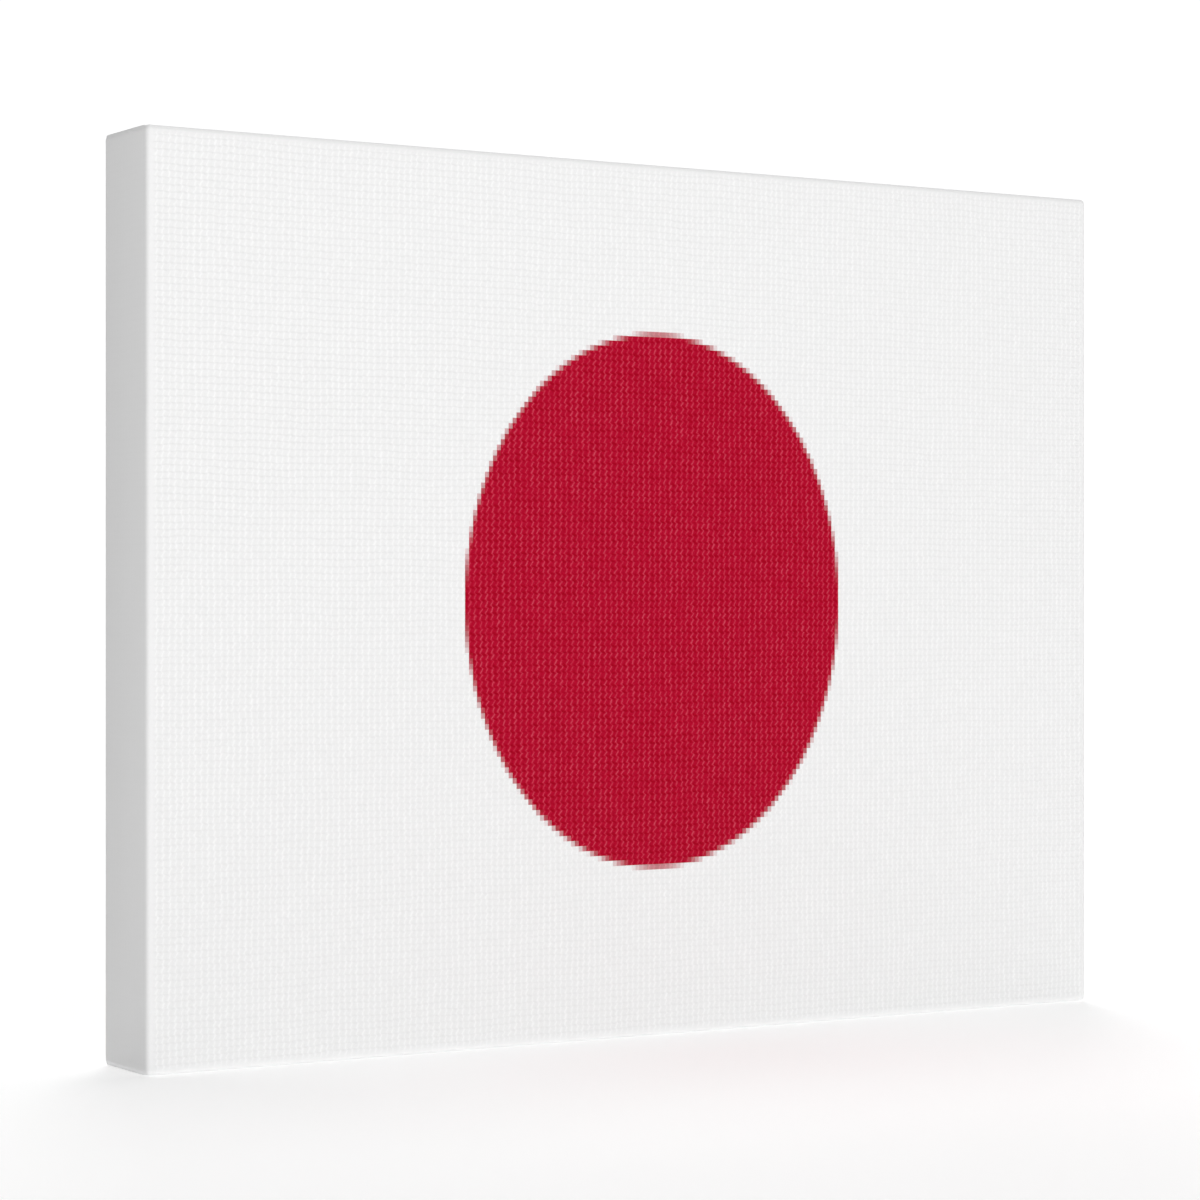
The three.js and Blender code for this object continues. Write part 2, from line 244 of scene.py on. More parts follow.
def weave(n, flat):
    """Warp and weft over the cloth's flat coordinates, in mm: (height 0 to 1, how much of the light strand shows, how much of the gap)."""
    s, t, _ = n.xyz(flat)
    wob = n.noise3(flat, 0.045, 3.0)
    fine = n.noise3(flat, 0.42, 2.0)
    u = n.add(
        n.add(n.div(s, WEAVE), n.mul(n.sub(wob[0], 0.5), 0.75)),
        n.mul(n.sub(fine[0], 0.5), 0.34),
    )
    v = n.add(
        n.add(n.div(t, WEAVE), n.mul(n.sub(wob[1], 0.5), 0.75)),
        n.mul(n.sub(fine[1], 0.5), 0.26),
    )
    fv = n.math("FRACT", v)
    row = n.math("FLOOR", v)
    # each warp strand leans a little to the right from row to row
    u2 = n.sub(u, n.mul(n.sub(fv, 0.5), 0.2))
    fu = n.math("FRACT", u2)
    col = n.math("FLOOR", u2)
    chance = n.white(n.vec(col, row, 0.0))
    chance2 = n.white(n.vec(col, row, 7.0))
    du = n.sub(fu, n.add(0.5, n.mul(n.sub(chance2, 0.5), 0.16)))
    strand = n.gauss(du, n.add(0.19, n.mul(chance, 0.07)))
    ends = n.mul(n.smooth(fv, 0.02, 0.2), n.smooth(fv, 0.98, 0.8))
    strand = n.mul(strand, n.add(0.25, n.mul(ends, 0.75)))
    strand = n.mul(strand, n.add(0.62, n.mul(chance, 0.38)))
    # the weft shows between the strands, lower, and twice as fine
    weft = n.mul(
        n.add(0.5, n.mul(n.math("COSINE", n.mul(fv, 4 * math.pi)), -0.5)),
        n.sub(1.0, strand),
    )
    gap = n.mul(
        n.sub(1.0, ends), n.sub(1.0, n.mul(n.gauss(du, 0.16), 0.55))
    )
    gap = n.mul(gap, n.add(0.55, n.mul(chance2, 0.45)))
    side = n.mul(n.gauss(n.add(du, 0.36), 0.13), 0.55)
    gap = n.math("MAXIMUM", gap, n.mul(side, ends))
    fuzz = n.noise(flat, 2.6, 3.0, 0.6)
    height = n.add(
        n.add(n.mul(strand, 0.75), n.mul(weft, 0.22)),
        n.add(n.mul(n.sub(fuzz, 0.5), 0.25), n.mul(gap, -0.35)),
    )
    return height, strand, gap, fuzz


def primed_weave(n, flat):
    """The same cloth under its primer: thin warp strands that zigzag on from row to row, with short hollows between them on the row lines. Gives (height, strand, hollow, line, rows, fuzz)."""
    s, t, _ = n.xyz(flat)
    wob = n.noise3(flat, 0.04, 3.0)
    fine = n.noise3(flat, 0.5, 2.0)
    u = n.add(
        n.add(n.div(s, WEAVE), n.mul(n.sub(wob[0], 0.5), 0.9)),
        n.mul(n.sub(fine[0], 0.5), 0.45),
    )
    v = n.add(
        n.add(n.div(t, WEAVE), n.mul(n.sub(wob[1], 0.5), 0.9)),
        n.mul(n.sub(fine[1], 0.5), 0.5),
    )
    fv, row = n.math("FRACT", v), n.math("FLOOR", v)
    # a strand leans to the right across each row and turns back at the row line
    turns = n.mul(n.smooth(fv, 0.0, 0.2), n.smooth(fv, 1.0, 0.8))
    ds, dt = n.div(n.sub(s, 0.3), 71.2), n.div(n.add(t, 0.2), 85.4)
    far = n.add(n.mul(ds, ds), n.mul(dt, dt))
    lean = n.mul(n.smooth(far, 0.9, 1.1, 0.6, 0.4), turns)
    u2 = n.sub(u, n.mul(n.sub(fv, 0.5), lean))
    fu, col = n.math("FRACT", u2), n.math("FLOOR", u2)

    def along(seed):
        # a random value for each strand that changes smoothly from row to row
        here = n.white(n.vec(col, row, seed))
        after = n.white(n.vec(col, n.add(row, 1.0), seed))
        return n.add(here, n.mul(n.sub(after, here), fv))

    chance = along(0.0)
    du = n.sub(fu, n.add(0.5, n.mul(n.sub(along(7.0), 0.5), 0.16)))
    core = n.gauss(du, n.add(0.085, n.mul(chance, 0.06)))
    halo = n.gauss(du, 0.26)
    ends = n.mul(n.smooth(fv, 0.0, 0.26), n.smooth(fv, 1.0, 0.74))
    strand = n.add(n.mul(core, 0.76), n.mul(halo, 0.27))
    strand = n.mul(strand, n.add(0.6, n.mul(ends, 0.4)))
    strand = n.mul(strand, n.add(0.6, n.mul(chance, 0.4)))
    # hollows: one between each pair of strands on each row line
    to_row = n.sub(0.5, n.math("ABSOLUTE", n.sub(fv, 0.5)))
    to_col = n.sub(0.5, n.math("ABSOLUTE", n.sub(fu, 0.5)))
    c3 = n.white(
        n.vec(n.math("FLOOR", n.add(u2, 0.5)), n.math("FLOOR", n.add(v, 0.5)), 3.0)
    )
    c4 = n.white(n.vec(n.math("FLOOR", n.add(u2, 0.5)), row, 5.0))
    hollow = n.mul(
        n.gauss(to_row, n.add(0.15, n.mul(c3, 0.09))),
        n.gauss(to_col, n.add(0.17, n.mul(c3, 0.08))),
    )
    hollow = n.mul(hollow, n.smooth(c3, 0.0, 0.85, 0.3, 1.0))
    line = n.mul(n.gauss(to_col, 0.11), n.mul(ends, n.smooth(c4, 0.3, 1.0)))
    rows = n.gauss(to_row, 0.1)
    line = n.math("MAXIMUM", line, n.mul(rows, 0.4))
    half = n.add(0.5, n.mul(n.math("COSINE", n.mul(fv, 4 * math.pi)), -0.5))
    fuzz = n.noise(flat, 2.4, 3.0, 0.62)
    height = n.add(
        n.add(n.mul(strand, 0.7), n.mul(n.mul(half, n.sub(1.0, core)), 0.2)),
        n.add(
            n.mul(n.sub(fuzz, 0.5), 0.35),
            n.add(n.mul(hollow, -0.36), n.mul(line, -0.08)),
        ),
    )
    return height, strand, hollow, line, rows, fuzz


def printed_cloth():
    n = Nodes("printed_canvas")
    flat = n.attribute("flat_mm")
    show = n.attribute("weave_shows", "Fac")
    height, strand, hollow, line, rows, fuzz = primed_weave(n, flat)
    s, t, _ = n.xyz(flat)
    # the printed disc, made up of large rectangular cells of one shade each
    CW, CH, RA, RB = 1.4239, 1.7077, 71.16, 85.41
    OX, OZ, MX, MZ = 0.26, 0.637, 0.29, -0.21
    cx = n.mul(n.add(n.math("FLOOR", n.div(n.sub(s, OX), CW)), 0.5), CW)
    cz = n.mul(n.add(n.math("FLOOR", n.div(n.sub(t, OZ), CH)), 0.5), CH)
    cx, cz = n.add(cx, OX - MX), n.add(cz, OZ - MZ)
    gx, gz = n.div(cx, RA * RA), n.div(cz, RB * RB)
    f = n.sub(n.add(n.mul(gx, cx), n.mul(gz, cz)), 1.0)
    size = n.math("SQRT", n.add(n.mul(gx, gx), n.mul(gz, gz)))
    across = n.div(
        n.add(
            n.mul(n.math("ABSOLUTE", gx), CW), n.mul(n.math("ABSOLUTE", gz), CH)
        ),
        n.math("MAXIMUM", size, 1e-6),
    )
    away = n.div(f, n.math("MAXIMUM", n.mul(size, 2.0), 1e-6))
    ink = n.sub(0.5, n.div(away, n.mul(across, 0.9)))
    ink = n.math("MAXIMUM", n.math("MINIMUM", ink, 1.0), 0.0)
    bare = n.sub(1.0, ink)
    ink = n.sub(1.0, n.mul(bare, bare))
    # white ground, with painted shade in the weave's hollows and row lines and a painted highlight along the raised
    # strands
    broad = n.noise(flat, 0.02, 3.0)
    # the painted shade in the row lines is strongest at the top left and weaker elsewhere
    row_shade_strength = n.mul(
        n.smooth(n.noise(flat, 0.011, 1.0), 0.38, 0.62, 0.85, 1.1),
        n.mul(n.smooth(s, 150.0, -150.0, 0.7, 1.3), n.smooth(t, -60.0, 60.0, 0.6, 1.6)),
    )
    # painted highlight on the strands, painted shade in the hollows, lines and rows, plus random tone from the fuzz
    w = n.add(
        n.add(
            n.mul(n.sub(strand, 0.26), 0.09),
            n.add(n.mul(hollow, -0.024), n.mul(line, -0.01)),
        ),
        n.add(
            n.mul(n.mul(n.sub(rows, 0.16), -0.018), row_shade_strength),
            n.mul(n.sub(fuzz, 0.5), 0.075),
        ),
    )
    w = n.mul(w, show)
    level = n.add(n.add(0.883, w), n.mul(n.sub(broad, 0.5), 0.012))
    # painted shade: the white is made a little darker from the face towards the back, standing in for the fall-off of
    # light along the sides
    _, back, _ = n.xyz(n.place())
    level = n.mul(level, n.smooth(back, 16.0, -14.0, 0.945, 1.0))
    white = n.mix(level, (0, 0, 0), (1, 1, 1))
    # ink: full in the hollows, thin on the raised strands
    tone = n.add(
        n.add(n.mul(strand, 0.6), n.mul(hollow, -0.7)),
        n.add(n.add(0.32, n.mul(line, -0.12)), n.mul(n.sub(fuzz, 0.5), 0.62)),
    )
    red = n.ramp(
        n.math("MINIMUM", n.math("MAXIMUM", tone, 0.0), 1.0),
        [
            (0.0, srgb(163, 0, 30)),
            (0.36, srgb(177, 6, 44)),
            (0.7, srgb(192, 44, 68)),
            (1.0, srgb(206, 78, 96)),
        ],
    )
    colour = n.mix(ink, white, red)
    rough = n.add(n.add(0.72, n.mul(ink, -0.14)), n.mul(n.sub(fuzz, 0.5), 0.12))
    lumps = n.noise(flat, 0.5, 2.0)
    normal = n.bump(
        n.mul(
            n.add(n.mul(height, 0.085), n.mul(lumps, 0.02)),
            n.add(0.02, n.mul(show, 0.98)),
        )
    )
    return n.set(
        Base_Color=colour,
        Roughness=rough,
        Normal=normal,
        Specular_IOR_Level=n.sub(0.3, n.mul(ink, 0.26)),
    )


def raw_cloth():
    n = Nodes("raw_cotton")
    flat = n.attribute("flat_mm")
    height, strand, gap, fuzz = weave(n, flat)
    broad = n.noise(flat, 0.03, 4.0)
    s, t, _ = n.xyz(flat)
    # slubs: short thick stretches of single threads, and seed flecks
    slub = n.noise(n.vec(n.mul(s, 0.02), n.mul(t, 0.5), 0.0), 1.0, 2.0)
    slub2 = n.noise(n.vec(n.mul(s, 0.5), n.mul(t, 0.02), 3.0), 1.0, 2.0)
    slubs = n.add(n.smooth(slub, 0.66, 0.8), n.smooth(slub2, 0.68, 0.82))
    fleck = n.smooth(n.noise(flat, 0.9, 0.0), 0.79, 0.84)
    tone = n.add(
        n.add(n.mul(strand, 0.5), n.mul(gap, -0.55)),
        n.add(
            n.add(0.46, n.mul(n.sub(fuzz, 0.5), 0.35)),
            n.add(n.mul(n.sub(broad, 0.5), 0.25), n.mul(slubs, 0.12)),
        ),
    )
    colour = n.ramp(
        n.math("MINIMUM", n.math("MAXIMUM", tone, 0.0), 1.0),
        [
            (0.0, srgb(176, 160, 132)),
            (0.45, srgb(214, 201, 176)),
            (1.0, srgb(238, 230, 212)),
        ],
    )
    colour = n.mix(n.mul(fleck, 0.6), colour, srgb(120, 92, 58))
    normal = n.bump(
        n.add(n.mul(height, 0.13), n.add(n.mul(slubs, 0.06), n.mul(fuzz, 0.02)))
    )
    return n.set(
        Base_Color=colour,
        Roughness=0.92,
        Normal=normal,
        Specular_IOR_Level=0.15,
        Sheen_Weight=0.25,
        Sheen_Roughness=0.6,
    )


def wood(
    name, along, pith, ring, early, late, knots=(), fibre=1.0, seed=0.0, flecks=False
):
    """Solid wood: growth rings round a pith line, fibres along it, and knots. along is the grain's axis."""
    n = Nodes(name)
    x, y, z = n.xyz(n.place())
    g, c = (x, z) if along == "x" else (z, x)
    g, c = n.add(g, seed * 31.0), n.sub(c, pith[0])
    d = n.sub(y, pith[1])
    slow = n.noise3(n.vec(n.mul(g, 0.004), n.mul(c, 0.012), n.mul(d, 0.012)), 1.0, 2.0)
    c2 = n.add(c, n.mul(n.sub(slow[0], 0.5), 26.0))
    d2 = n.add(d, n.mul(n.sub(slow[1], 0.5), 18.0))
    rho = n.math("SQRT", n.add(n.mul(c2, c2), n.mul(d2, d2)))
    mid = n.noise(n.vec(n.mul(g, 0.02), n.mul(c, 0.09), n.mul(d, 0.09)), 1.0, 3.0)
    rho = n.add(rho, n.mul(n.sub(mid, 0.5), ring * 0.8))
    dark = None
    for kg, kc, kr in knots:
        a = n.sub(g, kg + seed * 31.0)
        b = n.sub(c, kc - pith[0])
        wobble = n.noise(n.vec(n.mul(a, 0.25), n.mul(b, 0.25), seed), 1.0, 2.0)
        far = n.math(
            "SQRT", n.add(n.mul(n.mul(a, 0.72), n.mul(a, 0.72)), n.mul(b, b))
        )
        far = n.add(far, n.mul(n.sub(wobble, 0.5), kr * 0.5))
        rho = n.add(rho, n.mul(n.gauss(far, kr * 2.4), ring * 2.2))
        core = n.smooth(far, kr, kr * 0.72)
        rim = n.gauss(n.sub(far, kr * 0.9), kr * 0.16)
        rings = n.mul(n.math("SINE", n.mul(far, 9.0 / kr)), 0.5)
        this = n.math(
            "MINIMUM",
            n.add(n.mul(core, n.add(0.62, n.mul(rings, 0.25))), n.mul(rim, 0.55)),
            1.0,
        )
        dark = this if dark is None else n.math("MAXIMUM", dark, this)
    wave = n.math("FRACT", n.div(rho, ring))
    late_wood = n.mul(n.smooth(wave, 0.3, 0.86), n.smooth(wave, 1.0, 0.95))
    which = n.white(n.vec(n.math("FLOOR", n.div(rho, ring)), seed, 1.0))
    late_wood = n.mul(late_wood, n.add(0.45, n.mul(which, 0.55)))
    fine = n.noise(
        n.vec(n.mul(g, 0.06), n.mul(c, 3.4), n.mul(d, 3.4)), 1.0, 4.0, 0.62
    )
    pores = n.noise(n.vec(n.mul(g, 0.25), n.mul(c, 9.0), n.mul(d, 9.0)), 1.0, 2.0)
    broad = n.noise(n.vec(n.mul(g, 0.008), n.mul(c, 0.05), n.mul(d, 0.05)), 1.0, 3.0)
    colour = n.mix(late_wood, srgb(*early), srgb(*late))
    shade = n.add(
        n.add(1.0, n.mul(n.sub(fine, 0.5), 0.34 * fibre)),
        n.add(n.mul(n.sub(pores, 0.5), 0.16 * fibre), n.mul(n.sub(broad, 0.5), 0.22)),
    )
    scaled = n.nt.nodes.new("ShaderNodeVectorMath")
    scaled.operation = "SCALE"
    n.put(scaled.inputs[0], colour)
    n.put(scaled.inputs["Scale"], shade)
    colour = scaled.outputs[0]
    if flecks:
        spots = n.smooth(
            n.noise(n.vec(n.mul(g, 0.55), n.mul(c, 3.2), n.mul(d, 3.2)), 1.0, 1.0),
            0.62,
            0.72,
        )
        colour = n.mix(n.mul(spots, 0.4), colour, srgb(150, 104, 66))
    if dark is not None:
        colour = n.mix(dark, colour, srgb(98, 58, 28))
    cut = n.noise(n.vec(n.mul(g, 0.9), n.mul(c, 0.15), n.mul(d, 0.15)), 1.0, 1.0)
    height = n.add(
        n.add(n.mul(fine, 0.07), n.mul(late_wood, 0.03)),
        n.add(n.mul(pores, 0.04), n.mul(cut, 0.02)),
    )
    rough = n.add(0.58, n.mul(n.sub(1.0, late_wood), 0.14))
    return n.set(
        Base_Color=colour,
        Roughness=rough,
        Normal=n.bump(height),
        Specular_IOR_Level=0.3,
    )


def steel(name, base, rough, tint, scratch="x", dull=0.5):
    """Plated or drawn steel: mottled plating, fine drawing lines and dull spots."""
    n = Nodes(name)
    p = n.place()
    x, y, z = n.xyz(p)
    lines = (
        n.vec(n.mul(x, 0.4), n.mul(y, 9.0), n.mul(z, 14.0))
        if scratch == "x"
        else n.vec(n.mul(x, 14.0), n.mul(y, 9.0), n.mul(z, 0.4))
    )
    drawn = n.noise(lines, 1.0, 3.0)
    spangle = n.nt.nodes.new("ShaderNodeTexVoronoi")
    n.put(spangle.inputs["Vector"], p)
    spangle.inputs["Scale"].default_value = 1.1
    cell = n.xyz(spangle.outputs["Color"])[0]
    cloud = n.noise(p, 0.6, 4.0)
    spots = n.smooth(n.noise(p, 1.7, 4.0), 0.58, 0.74)
    colour = n.mix(n.mul(n.sub(cell, 0.2), 0.35), srgb(*base), srgb(*tint))
    colour = n.mix(n.mul(spots, dull * 0.5), colour, srgb(134, 132, 128))
    r = n.add(
        n.add(rough, n.mul(n.sub(cloud, 0.5), 0.22)),
        n.add(n.mul(n.sub(drawn, 0.5), 0.16), n.mul(spots, dull * 0.25)),
    )
    height = n.add(n.mul(drawn, 0.012), n.mul(cloud, 0.02))
    return n.set(
        Base_Color=colour, Metallic=1.0, Roughness=r, Normal=n.bump(height)
    )


def rubber_material():
    n = Nodes("moulded_rubber")
    p = n.place()
    grain = n.noise(p, 6.0, 3.0)
    dust = n.smooth(n.noise(p, 0.9, 5.0, 0.62), 0.5, 0.72)
    colour = n.mix(n.mul(dust, 0.22), srgb(43, 43, 45), srgb(126, 122, 115))
    rough = n.add(0.5, n.add(n.mul(grain, 0.14), n.mul(dust, 0.2)))
    return n.set(
        Base_Color=colour,
        Roughness=rough,
        Normal=n.bump(n.mul(grain, 0.03)),
        Specular_IOR_Level=0.45,
    )


printed = printed_cloth()
raw = raw_cloth()
PINE = dict(ring=2.9, early=(229, 196, 146), late=(196, 148, 92))
bars = {
    "stretcher_bar_top": wood(
        "pine_top", "x", (306, -26), knots=((-71, 258, 5.2),), seed=1.3, **PINE
    ),
    "stretcher_bar_bottom": wood(
        "pine_bottom", "x", (-14, -30), knots=((96, 22, 3.6),), seed=2.1, **PINE
    ),
    "stretcher_bar_left": wood(
        "pine_left", "z", (-208, 36), knots=((178, -160, 3.2),), seed=3.7, **PINE
    ),
    "stretcher_bar_right": wood(
        "pine_right", "z", (214, 44), knots=((112, 157, 4.6),), seed=4.9, **PINE
    ),
}
BEECH = dict(ring=1.5, early=(216, 178, 132), late=(190, 146, 101), flecks=True)
keys_x = wood("beech_lying", "x", (0, 60), seed=0.4, **BEECH)
keys_z = wood("beech_upright", "z", (0, -70), seed=0.9, **BEECH)
zinc = steel("zinc_plate", (196, 198, 201), 0.3, (222, 221, 213))
staple_x = steel("staple_wire_lying", (188, 190, 193), 0.34, (206, 206, 202), "x", 0.7)
staple_z = steel("staple_wire_upright", (188, 190, 193), 0.34, (206, 206, 202), "z", 0.7)
nail_steel = steel("nail_steel", (178, 180, 184), 0.36, (196, 194, 188), "x", 0.9)
rubber = rubber_material()

# ---------------------------------------------------------------------------
# The cloth
# ---------------------------------------------------------------------------

R = 1.6  # how round it turns over the edges
CLOTH = 0.5  # its thickness
FLAP = 27.0
STAPLE_LINE = 20.0
LIP_SIDE, LIP_BACK = 0.42, 0.82  # folded layers under the cloth at the corners
DEPTH = YB - YF

# Sides in order round the picture, as seen from the front: outward and along.
SIDES = [
    (np.array([-1.0, 0.0]), np.array([0.0, 1.0]), A, HC),  # left
    (np.array([0.0, 1.0]), np.array([1.0, 0.0]), HC, A),  # top
    (np.array([1.0, 0.0]), np.array([0.0, -1.0]), A, HC),  # right
    (np.array([0.0, -1.0]), np.array([-1.0, 0.0]), HC, A),  # bottom
]
# Where the staples are along each side, from the middle, and the side they're on
staple_at = {0: [], 1: [], 2: [], 3: []}
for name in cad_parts:
    if name.startswith("staple_") and "corner" not in name:
        b0, b1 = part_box(name)
        mx, mz = (b0.x + b1.x) * 500, (b0.z + b1.z) * 500 - HC
        side = {"left": 0, "top": 1, "right": 2, "bottom": 3}[name.split("_")[1]]
        nrm, along, _, _ = SIDES[side]
        staple_at[side].append(float(mx * along[0] + mz * along[1]))
corner_staples = []
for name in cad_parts:
    if name.startswith("staple_corner"):
        b0, b1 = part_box(name)
        corner_staples.append(
            ((b0.x + b1.x) * 500, (b0.z + b1.z) * 500 - HC)
        )


def smoothstep(x, a, b):
    t = np.clip((np.asarray(x, float) - a) / (b - a), 0, 1)
    return t * t * (3 - 2 * t)


def ripple(a, b, seed):
    """A smooth irregular wave of about -1 to 1 over two coordinates in mm."""
    return (
        np.sin(a * 0.071 + b * 0.113 + seed * 1.7)
        + np.sin(a * 0.163 - b * 0.057 + seed * 3.1) * 0.7
        + np.sin(a * 0.031 + b * 0.29 + seed * 5.3) * 0.5
        + np.sin(a * 0.41 + seed * 2.3) * 0.25
    ) / 2.2


FROM = 70.0  # flaps narrow towards their mitred ends beyond this


def narrowed(a, half, end):
    """Where a line at a on the outer edge is once the side's half length has shrunk to end."""
    over = abs(a) - FROM
    if over <= 0:
        return a
    return math.copysign(FROM + over * (end - FROM) / (half - R - FROM), a)


def lines(half, staples):
    """Places along a side, from -(half - R) to half - R, closer together by its staples and its ends."""
    end = half - R
    found = {0.0, end, -end}
    for s in staples:
        at_row = half - STAPLE_LINE - 1.3
        s0 = s
        if abs(s) > FROM:
            s0 = math.copysign(
                FROM + (abs(s) - FROM) * (end - FROM) / (at_row - FROM), s
            )
        for k in (1.5, 4.2, 5.5, 6.3, 7.5, 9.8):
            found |= {round(s0 + f * k, 3) for f in (-1, 1) if abs(s0 + f * k) < end - 1}
    for d in (0.9, 2.0, 3.3, 4.8, 6.7, 9.2, 12.2, 15.6, 19, 22.4, 25, 27, 29, 31.6, 35.6):
        found |= {round(end - d, 3), round(d - end, 3)}
    placed = sorted(found)
    made = [placed[0]]
    for b in placed[1:]:
        gap = b - made[-1]
        if gap < 0.45 and b < end:
            continue
        steps = max(1, math.ceil(gap / 3.6))
        made += [made[-1] + gap * (i + 1) / steps for i in range(steps)]
    made[-1] = end
    half_made = [x for x in made if x > 0.01]
    return np.array([-x for x in reversed(half_made)] + [0.0] + half_made)


all_x = [abs(v) for s in (1, 3) for v in staple_at[s]]
all_z = [abs(v) for s in (0, 2) for v in staple_at[s]]
XS = lines(A, sorted({round(v, 1) for v in all_x}))
ZS = lines(HC, sorted({round(v, 1) for v in all_z}))
SIDE_LINES = [ZS, XS, ZS, XS]

# Stations from the front's edge round to the cut edge: (inward offset, y, how far back 0 to 1, arc length)
stations = []
arc = 0.0
for k in range(6):
    t = math.radians(90 * k / 5)
    stations.append(
        [R - R * math.sin(t), YF + R - R * math.cos(t), "front", arc + R * t, t]
    )
arc += R * math.pi / 2
SIDE_STEPS = [1.2, 2.6, 4.2, 6.2, 9, 12.4, 16, 19.6, 23, 25.6, 27.4]
for d in SIDE_STEPS:
    stations.append([0.0, YF + R + d, "side", arc + d, 0.0])
arc += DEPTH - 2 * R
for k in range(6):
    t = math.radians(90 * k / 5)
    stations.append(
        [R - R * math.cos(t), YB - R + R * math.sin(t), "back", arc + R * t, t]
    )
arc += R * math.pi / 2
FLAP_STEPS = [
    0.6, 1.3, 2.2, 3.3, 4.7, 6.3, 8.1, 10, 11.9, 13.6, 15.1, 16.4, 17.3, 18.1, 18.9,
    19.8, 20.9, 22.1, 23.3, 24.3, 25.0, FLAP - R,
]
for d in FLAP_STEPS:
    stations.append([R + d, YB, "flap", arc + d, 0.0])
K = len(stations)

# Fan of lines round each corner: the angle from the low side (0) to the side that lies over it (90), how far from the mitre it is on the back, and whether it is on the upper layer.
FAN = [
    (12, 1.05, 0),
    (24, 0.74, 0),
    (36, 0.46, 0),
    (46, 0.22, 0),
    (52, 0.07, 0),
    (56, 0.06, 1),
    (61, 0.2, 1),
    (69, 0.45, 1),
    (79, 0.85, 1),
]
END = 1.3  # how far a side's last line is from the mitre on the back


def over_side(i):
    return i in (1, 3)


def pucker(i, a, w):
    """How the flap of side i stands off the wood at a along it and w in from its outer edge."""
    h = 0.0
    near = 1e9
    for s in staple_at[i]:
        near = min(near, abs(a - s))
        da, dw = a - s, STAPLE_LINE - w
        far = math.hypot(da * 0.8, dw)
        turn = math.atan2(da, max(dw, 0.0) + 2.5)
        h += (
            0.09
            * math.cos(turn * 7.5 + s)
            * math.exp(-((far - 7) / 6.5) ** 2)
            * float(smoothstep(dw, -1, 3))
        )
        # pressed down under the crown, lifted just beside it
        if abs(da) < 9 and abs(dw) < 5:
            inside = float(smoothstep(6.6 - abs(da), 0, 1.2))
            h += inside * (-0.12 * math.exp(-((dw / 1.3) ** 2)) + 0.06 * math.exp(-((abs(dw) - 2.4) / 1.1) ** 2))
    between = 1 - math.exp(-((near / 11) ** 2))
    h += 0.2 * between * float(smoothstep(w, 6, 18))
    edge = float(smoothstep(w, STAPLE_LINE + 0.8, FLAP))
    h += edge * (0.1 + 0.55 * between * (0.6 + 0.4 * ripple(a, 0, i + 2)))
    h += 0.05 * ripple(a * 1.4, w * 2, i) * float(smoothstep(w, 2, 8))
    return h


def lifted(i, d, w):
    """Folded layers under the flap: d is how far from the picture's outer edge along the side."""
    if not over_side(i):
        return 0.0
    return LIP_BACK * float(smoothstep(29.5 - d, 0, 3.5)) * (
        1 - 0.25 * float(smoothstep(w, 22, 28))
    )


def lifted_side(i, d, b):
    """The same on the side face: d along from the corner, b back from the front. The folded triangle lies behind the diagonal."""
    if not over_side(i):
        return 0.0
    return (
        LIP_SIDE
        * float(smoothstep(b - d, -1.6, 1.6))
        * float(smoothstep(b, 0.8, 6.5))
    )


points, normals, flats, shows = [], [], [], []


def put(p, nrm, flat, show):
    points.append(p)
    normals.append(nrm)
    flats.append(flat)
    shows.append(show)
    return len(points) - 1


nx, nz = len(XS), len(ZS)
front = np.zeros((nx, nz), int)
for ix, x in enumerate(XS):
    for iz, z in enumerate(ZS):
        soft = 0.05 * ripple(x * 0.5, z * 0.5, 9)
        inset = min(A - R - abs(x), HC - R - abs(z))
        h = soft * float(smoothstep(inset, 0, 12))
        clear = 0.2 + 0.8 * float(smoothstep(inset, -0.3, 1.2))
        front[ix, iz] = put((x, YF - h, z), (0, -1, 0), (x, z), clear)


def weave_shows(kind, t):
    """How clearly the weave is seen: the primer fills it more on the sides."""
    turn = t / (math.pi / 2)
    return {
        "front": 0.2,
        "side": 0.1,
        "back": 0.1 + 0.5 * turn,
        "flap": 0.8,
    }[kind]


def station_point(i, a, k):
    """A point of side i's own surface: place, normal, flat place and how much the weave shows."""
    o, y, kind, length, t = stations[k]
    out, along, O, L = SIDES[i]
    if kind in ("front", "side"):
        a2 = a
    else:
        share = 1.0 if kind == "flap" else t / (math.pi / 2)
        slack = (1 - share) * (R - o) + share * END
        slack = max(slack, 0.0)
        target = L - o - slack if kind == "flap" else (L - R) * (1 - share) + (
            L - o - END
        ) * share
        a2 = narrowed(a, L, target)
    if kind == "front":
        n2, ny = math.sin(t), -math.cos(t)
    elif kind == "side":
        n2, ny = 1.0, 0.0
    elif kind == "back":
        n2, ny = math.cos(t), math.sin(t)
    else:
        n2, ny = 0.0, 1.0
    d = L - abs(a2)
    b = y - YF
    h_side = lifted_side(i, d, b) + 0.035 * ripple(a, b * 3, i + 4) * float(
        smoothstep(b, 3, 8)
    ) * float(smoothstep(d, 3, 12))
    h_back = lifted(i, d, o)
    if kind == "flap":
        blend = float(smoothstep(o, R - 0.5, 4.2))
        h_edge = lifted_side(i, d, DEPTH)
        h = h_edge * (1 - blend) + h_back * blend + pucker(i, a2, o)
    elif kind == "back":
        h = lifted_side(i, d, DEPTH)
    else:
        h = h_side
    cut = 0.0
    if kind == "flap":
        trim = float(smoothstep(o, 14, FLAP)) * float(smoothstep(d, 24, 44))
        cut = 0.7 * trim * ripple(a2 * 1.3, 0, i + 20)
    off = O - o - cut
    p = out * (off + n2 * h) + along * a2
    n = out * n2
    flat = out * (O - R + length + cut) + along * a2
    show = weave_shows(kind, t)
    return (p[0], y + ny * h, p[1]), (n[0], ny, n[1]), tuple(flat), show


